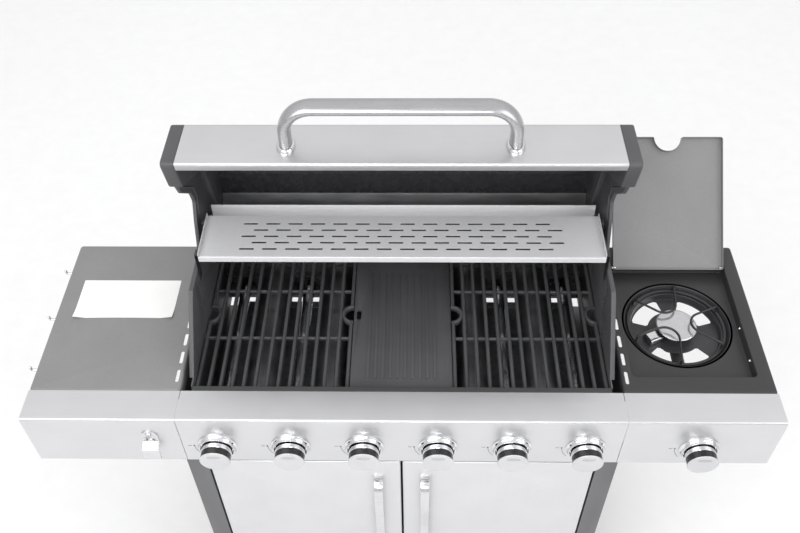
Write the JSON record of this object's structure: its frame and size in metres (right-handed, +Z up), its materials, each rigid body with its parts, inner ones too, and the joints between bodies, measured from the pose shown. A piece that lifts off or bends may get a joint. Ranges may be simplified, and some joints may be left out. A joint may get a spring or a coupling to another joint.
{
  "type": "gas barbecue grill",
  "caption": "Wide gas barbecue grill on a wheeled cabinet with two doors, an open hinged hood, cast grates with a griddle, side shelves and a lidded side burner.",
  "frame": {"origin": "centre of the grill's bounding box, on the floor under the wheels", "axes": "+X to the right along the side shelves as seen from the front, +Y to the rear, +Z up"},
  "size_m": [1.52, 0.669, 1.389],
  "materials": {
    "painted_frame": "satin powder coat",
    "cast_aluminium_dark": "cast, dark paint",
    "stainless_panel": "brushed",
    "polished_stainless": "bright",
    "cast_iron_enamel": "matt enamel",
    "zinc_steel": "zinc plated",
    "brass_fittings": "as cast",
    "ceramic": "glazed ceramic",
    "chrome_trim": "polished",
    "knob_plastic": "gloss, with a bright face",
    "wheel_rubber": "matt"
  },
  "bodies": {
    "grill": {"bottle_opener": "polished_stainless", "burner_bowl": "zinc_steel", "burner_tubes": "polished_stainless", "cabinet_back": "painted_frame", "cabinet_floor": "painted_frame", "cabinet_sides": "painted_frame", "cooking_grate_left": "cast_iron_enamel", "cooking_grate_right": "cast_iron_enamel", "fascia_left": "stainless_panel", "fascia_main": "stainless_panel", "fascia_right": "stainless_panel", "fasteners": "polished_stainless", "firebox_front": "stainless_panel", "firebox_rear": "stainless_panel", "firebox_side_left": "cast_aluminium_dark", "firebox_side_right": "cast_aluminium_dark", "front_frame": "painted_frame", "gas_manifold": "zinc_steel", "gas_valves": "brass_fittings", "griddle_plate": "cast_iron_enamel", "heat_deflectors": "polished_stainless", "hinge_pins": "polished_stainless", "igniters": "ceramic", "knob_bezels": "chrome_trim", "rack_brackets": "polished_stainless", "shelf_left": "stainless_panel", "shelf_right": "stainless_panel", "side_burner": "cast_iron_enamel", "tool_hooks": "polished_stainless", "trivet": "polished_stainless", "warming_rack": "stainless_panel"},
    "lid": {"lid_panel": "stainless_panel", "lid_liner": "stainless_panel", "lid_casting_left": "cast_aluminium_dark", "lid_casting_right": "cast_aluminium_dark", "lid_handle": "polished_stainless", "handle_bezels": "polished_stainless"},
    "side_burner_lid": {"side_lid": "stainless_panel"},
    "door_left_body": {"door_left": "stainless_panel", "door_handle_left": "polished_stainless"},
    "door_right_body": {"door_right": "stainless_panel", "door_handle_right": "polished_stainless"},
    "tray": {"grease_tray": "zinc_steel"},
    "knob_1_body": {"knob_1": "knob_plastic"},
    "knob_2_body": {"knob_2": "knob_plastic"},
    "knob_3_body": {"knob_3": "knob_plastic"},
    "knob_4_body": {"knob_4": "knob_plastic"},
    "knob_5_body": {"knob_5": "knob_plastic"},
    "knob_6_body": {"knob_6": "knob_plastic"},
    "knob_side_body": {"knob_side": "knob_plastic"},
    "caster_front_left": {"caster_fork_front_left": "zinc_steel"},
    "wheel_front_left": {"caster_wheel_front_left": "wheel_rubber"},
    "caster_front_right": {"caster_fork_front_right": "zinc_steel"},
    "wheel_front_right": {"caster_wheel_front_right": "wheel_rubber"},
    "caster_rear_left": {"caster_fork_rear_left": "zinc_steel"},
    "wheel_rear_left": {"caster_wheel_rear_left": "wheel_rubber"},
    "caster_rear_right": {"caster_fork_rear_right": "zinc_steel"},
    "wheel_rear_right": {"caster_wheel_rear_right": "wheel_rubber"},
    "brake_left": {"brake_lever_left": "knob_plastic"},
    "brake_right": {"brake_lever_right": "knob_plastic"}
  },
  "joints": [
    {"name": "lid_hinge", "type": "hinge", "parent": "grill", "child": "lid", "pos_m": [0.01, 0.12207, 0.908], "axis": [1, 0, 0], "range_deg": [0, 75]},
    {"name": "side_lid_hinge", "type": "hinge", "parent": "grill", "child": "side_burner_lid", "pos_m": [0.6035, 0.11307, 0.891], "axis": [1, 0, 0], "range_deg": [0, 138]},
    {"name": "door_left_hinge", "type": "hinge", "parent": "grill", "child": "door_left_body", "pos_m": [-0.3895, -0.27993, 0.4], "axis": [0, 0, -1], "range_deg": [0, 100]},
    {"name": "door_right_hinge", "type": "hinge", "parent": "grill", "child": "door_right_body", "pos_m": [0.4095, -0.27993, 0.4], "axis": [0, 0, 1], "range_deg": [0, 100]},
    {"name": "grease_tray_slide", "type": "slide", "parent": "grill", "child": "tray", "axis": [0, 1, 0], "range_m": [0, 0.32]},
    {"name": "knob_1_turn", "type": "hinge", "parent": "grill", "child": "knob_1_body", "pos_m": [-0.36175, -0.31493, 0.799], "axis": [0, -1, 0], "range_deg": [0, 210]},
    {"name": "knob_2_turn", "type": "hinge", "parent": "grill", "child": "knob_2_body", "pos_m": [-0.21305, -0.31493, 0.799], "axis": [0, -1, 0], "range_deg": [0, 210]},
    {"name": "knob_3_turn", "type": "hinge", "parent": "grill", "child": "knob_3_body", "pos_m": [-0.06435, -0.31493, 0.799], "axis": [0, -1, 0], "range_deg": [0, 210]},
    {"name": "knob_4_turn", "type": "hinge", "parent": "grill", "child": "knob_4_body", "pos_m": [0.08435, -0.31493, 0.799], "axis": [0, -1, 0], "range_deg": [0, 210]},
    {"name": "knob_5_turn", "type": "hinge", "parent": "grill", "child": "knob_5_body", "pos_m": [0.23305, -0.31493, 0.799], "axis": [0, -1, 0], "range_deg": [0, 210]},
    {"name": "knob_6_turn", "type": "hinge", "parent": "grill", "child": "knob_6_body", "pos_m": [0.38175, -0.31493, 0.799], "axis": [0, -1, 0], "range_deg": [0, 210]},
    {"name": "knob_side_turn", "type": "hinge", "parent": "grill", "child": "knob_side_body", "pos_m": [0.6085, -0.31493, 0.799], "axis": [0, -1, 0], "range_deg": [0, 210]},
    {"name": "caster_swivel_front_left", "type": "hinge", "parent": "grill", "child": "caster_front_left", "pos_m": [-0.39, -0.24993, 0.095], "axis": [0, 0, 1], "continuous": true},
    {"name": "wheel_spin_front_left", "type": "hinge", "parent": "caster_front_left", "child": "wheel_front_left", "pos_m": [-0.39, -0.22393, 0.0375], "axis": [1, 0, 0], "continuous": true},
    {"name": "caster_swivel_front_right", "type": "hinge", "parent": "grill", "child": "caster_front_right", "pos_m": [0.41, -0.24993, 0.095], "axis": [0, 0, 1], "continuous": true},
    {"name": "wheel_spin_front_right", "type": "hinge", "parent": "caster_front_right", "child": "wheel_front_right", "pos_m": [0.41, -0.22393, 0.0375], "axis": [1, 0, 0], "continuous": true},
    {"name": "caster_swivel_rear_left", "type": "hinge", "parent": "grill", "child": "caster_rear_left", "pos_m": [-0.39, 0.13007, 0.095], "axis": [0, 0, 1], "continuous": true},
    {"name": "wheel_spin_rear_left", "type": "hinge", "parent": "caster_rear_left", "child": "wheel_rear_left", "pos_m": [-0.39, 0.15607, 0.0375], "axis": [1, 0, 0], "continuous": true},
    {"name": "caster_swivel_rear_right", "type": "hinge", "parent": "grill", "child": "caster_rear_right", "pos_m": [0.41, 0.13007, 0.095], "axis": [0, 0, 1], "continuous": true},
    {"name": "wheel_spin_rear_right", "type": "hinge", "parent": "caster_rear_right", "child": "wheel_rear_right", "pos_m": [0.41, 0.15607, 0.0375], "axis": [1, 0, 0], "continuous": true},
    {"name": "brake_left_press", "type": "hinge", "parent": "caster_front_left", "child": "brake_left", "pos_m": [-0.39, -0.20593, 0.0795], "axis": [-1, 0, 0], "range_deg": [0, 25]},
    {"name": "brake_right_press", "type": "hinge", "parent": "caster_front_right", "child": "brake_right", "pos_m": [0.41, -0.20593, 0.0795], "axis": [-1, 0, 0], "range_deg": [0, 25]}
  ]
}
